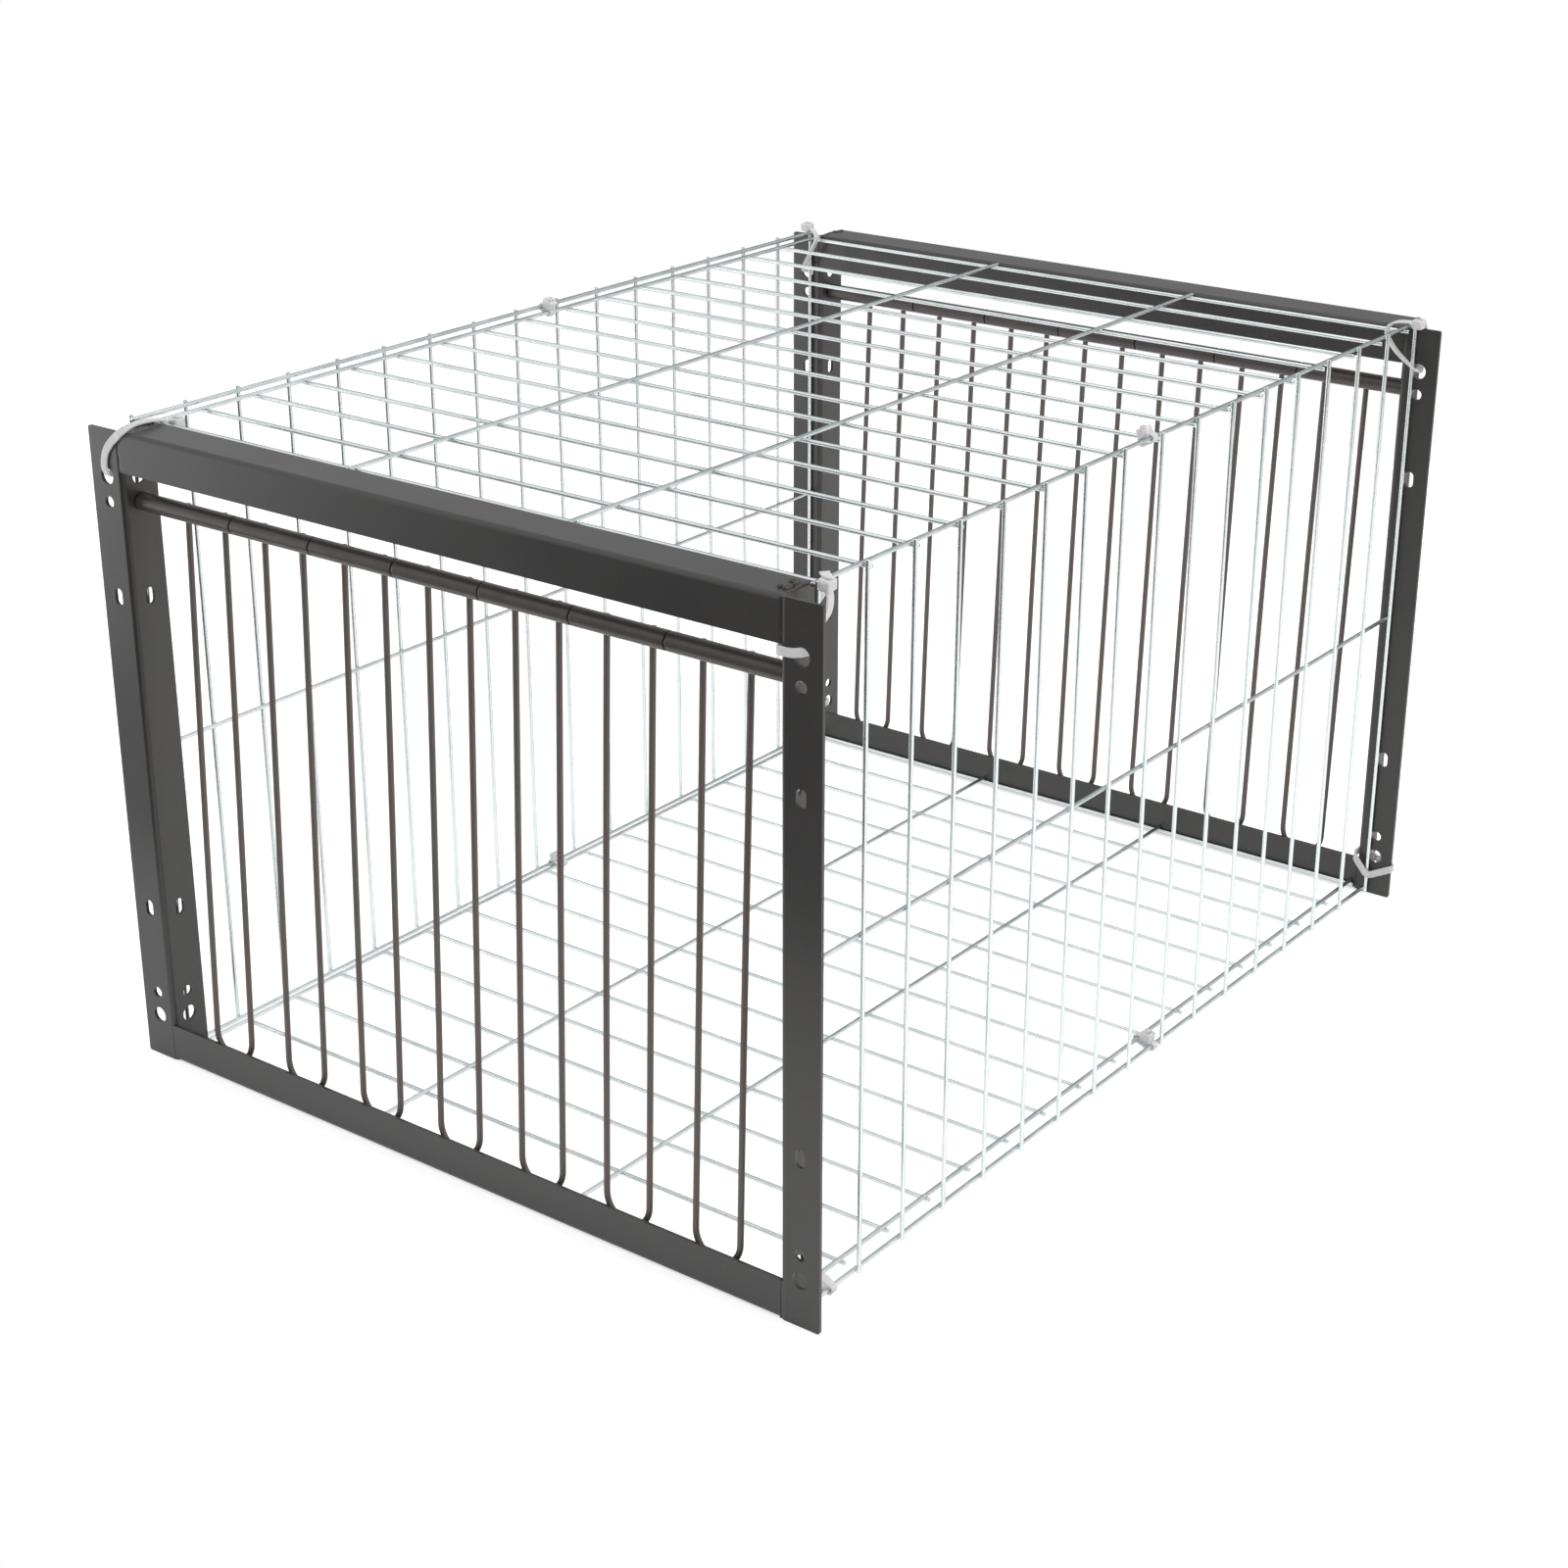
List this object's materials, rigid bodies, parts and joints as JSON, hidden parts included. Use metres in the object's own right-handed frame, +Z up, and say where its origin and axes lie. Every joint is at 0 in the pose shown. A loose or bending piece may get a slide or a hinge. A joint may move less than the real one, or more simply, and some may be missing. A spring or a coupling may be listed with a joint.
{
  "type": "pigeon trap cage",
  "caption": "Low wire pigeon cage: welded mesh tunnel tied between black angle-steel end frames, each closed by a row of free-swinging bob wires on an axle.",
  "frame": {"origin": "at ground level, in the middle of the cage", "axes": "+Y is the way a bird walks in through the front frame, +Z is up, +X is to the bird's right"},
  "size_m": [0.3908, 0.5214, 0.3079],
  "materials": {
    "black_powder_coat": "satin",
    "axle_steel": "satin",
    "black_tube": "semi-gloss",
    "dark_wire": "satin",
    "zinc_wire": "bright zinc",
    "nylon": "milky"
  },
  "bodies": {
    "cage": {"front_left_post": "black_powder_coat", "front_right_post": "black_powder_coat", "front_top_bar": "black_powder_coat", "front_bottom_bar": "black_powder_coat", "front_axle": "axle_steel", "rear_left_post": "black_powder_coat", "rear_right_post": "black_powder_coat", "rear_top_bar": "black_powder_coat", "rear_bottom_bar": "black_powder_coat", "rear_axle": "axle_steel", "top_panel": "zinc_wire", "floor_panel": "zinc_wire", "left_panel": "zinc_wire", "right_panel": "zinc_wire", "tie_front_top_left": "nylon", "tie_front_top_right": "nylon", "tie_front_floor_right": "nylon", "tie_middle_top_left": "nylon", "tie_middle_top_right": "nylon", "tie_middle_floor_left": "nylon", "tie_middle_floor_right": "nylon", "tie_rear_top_left": "nylon", "tie_rear_top_right": "nylon", "tie_rear_floor_left": "nylon", "tie_rear_floor_right": "nylon"},
    "front_bob_1": {"front_bob_sleeve_1": "black_tube", "front_bob_wire_1": "dark_wire"},
    "front_bob_2": {"front_bob_sleeve_2": "black_tube", "front_bob_wire_2": "dark_wire"},
    "front_bob_3": {"front_bob_sleeve_3": "black_tube", "front_bob_wire_3": "dark_wire"},
    "front_bob_4": {"front_bob_sleeve_4": "black_tube", "front_bob_wire_4": "dark_wire"},
    "front_bob_5": {"front_bob_sleeve_5": "black_tube", "front_bob_wire_5": "dark_wire"},
    "front_bob_6": {"front_bob_sleeve_6": "black_tube", "front_bob_wire_6": "dark_wire"},
    "front_bob_7": {"front_bob_sleeve_7": "black_tube", "front_bob_wire_7": "dark_wire"},
    "rear_bob_1": {"rear_bob_sleeve_1": "black_tube", "rear_bob_wire_1": "dark_wire"},
    "rear_bob_2": {"rear_bob_sleeve_2": "black_tube", "rear_bob_wire_2": "dark_wire"},
    "rear_bob_3": {"rear_bob_sleeve_3": "black_tube", "rear_bob_wire_3": "dark_wire"},
    "rear_bob_4": {"rear_bob_sleeve_4": "black_tube", "rear_bob_wire_4": "dark_wire"},
    "rear_bob_5": {"rear_bob_sleeve_5": "black_tube", "rear_bob_wire_5": "dark_wire"},
    "rear_bob_6": {"rear_bob_sleeve_6": "black_tube", "rear_bob_wire_6": "dark_wire"},
    "rear_bob_7": {"rear_bob_sleeve_7": "black_tube", "rear_bob_wire_7": "dark_wire"}
  },
  "joints": [
    {"name": "front_bob_1_swing", "type": "hinge", "parent": "cage", "child": "front_bob_1", "pos_m": [-0.14, -0.2505, 0.2675], "axis": [1, 0, 0], "range_deg": [-0.35, 97]},
    {"name": "front_bob_2_swing", "type": "hinge", "parent": "cage", "child": "front_bob_2", "pos_m": [-0.09333, -0.2505, 0.2675], "axis": [1, 0, 0], "range_deg": [-0.35, 97]},
    {"name": "front_bob_3_swing", "type": "hinge", "parent": "cage", "child": "front_bob_3", "pos_m": [-0.04667, -0.2505, 0.2675], "axis": [1, 0, 0], "range_deg": [-0.35, 97]},
    {"name": "front_bob_4_swing", "type": "hinge", "parent": "cage", "child": "front_bob_4", "pos_m": [0, -0.2505, 0.2675], "axis": [1, 0, 0], "range_deg": [-0.35, 97]},
    {"name": "front_bob_5_swing", "type": "hinge", "parent": "cage", "child": "front_bob_5", "pos_m": [0.04667, -0.2505, 0.2675], "axis": [1, 0, 0], "range_deg": [-0.35, 97]},
    {"name": "front_bob_6_swing", "type": "hinge", "parent": "cage", "child": "front_bob_6", "pos_m": [0.09333, -0.2505, 0.2675], "axis": [1, 0, 0], "range_deg": [-0.35, 97]},
    {"name": "front_bob_7_swing", "type": "hinge", "parent": "cage", "child": "front_bob_7", "pos_m": [0.14, -0.2505, 0.2675], "axis": [1, 0, 0], "range_deg": [-0.35, 97]},
    {"name": "rear_bob_1_swing", "type": "hinge", "parent": "cage", "child": "rear_bob_1", "pos_m": [-0.14, 0.2495, 0.2675], "axis": [1, 0, 0], "range_deg": [-0.35, 150]},
    {"name": "rear_bob_2_swing", "type": "hinge", "parent": "cage", "child": "rear_bob_2", "pos_m": [-0.09333, 0.2495, 0.2675], "axis": [1, 0, 0], "range_deg": [-0.35, 150]},
    {"name": "rear_bob_3_swing", "type": "hinge", "parent": "cage", "child": "rear_bob_3", "pos_m": [-0.04667, 0.2495, 0.2675], "axis": [1, 0, 0], "range_deg": [-0.35, 150]},
    {"name": "rear_bob_4_swing", "type": "hinge", "parent": "cage", "child": "rear_bob_4", "pos_m": [0, 0.2495, 0.2675], "axis": [1, 0, 0], "range_deg": [-0.35, 150]},
    {"name": "rear_bob_5_swing", "type": "hinge", "parent": "cage", "child": "rear_bob_5", "pos_m": [0.04667, 0.2495, 0.2675], "axis": [1, 0, 0], "range_deg": [-0.35, 150]},
    {"name": "rear_bob_6_swing", "type": "hinge", "parent": "cage", "child": "rear_bob_6", "pos_m": [0.09333, 0.2495, 0.2675], "axis": [1, 0, 0], "range_deg": [-0.35, 150]},
    {"name": "rear_bob_7_swing", "type": "hinge", "parent": "cage", "child": "rear_bob_7", "pos_m": [0.14, 0.2495, 0.2675], "axis": [1, 0, 0], "range_deg": [-0.35, 150]}
  ]
}
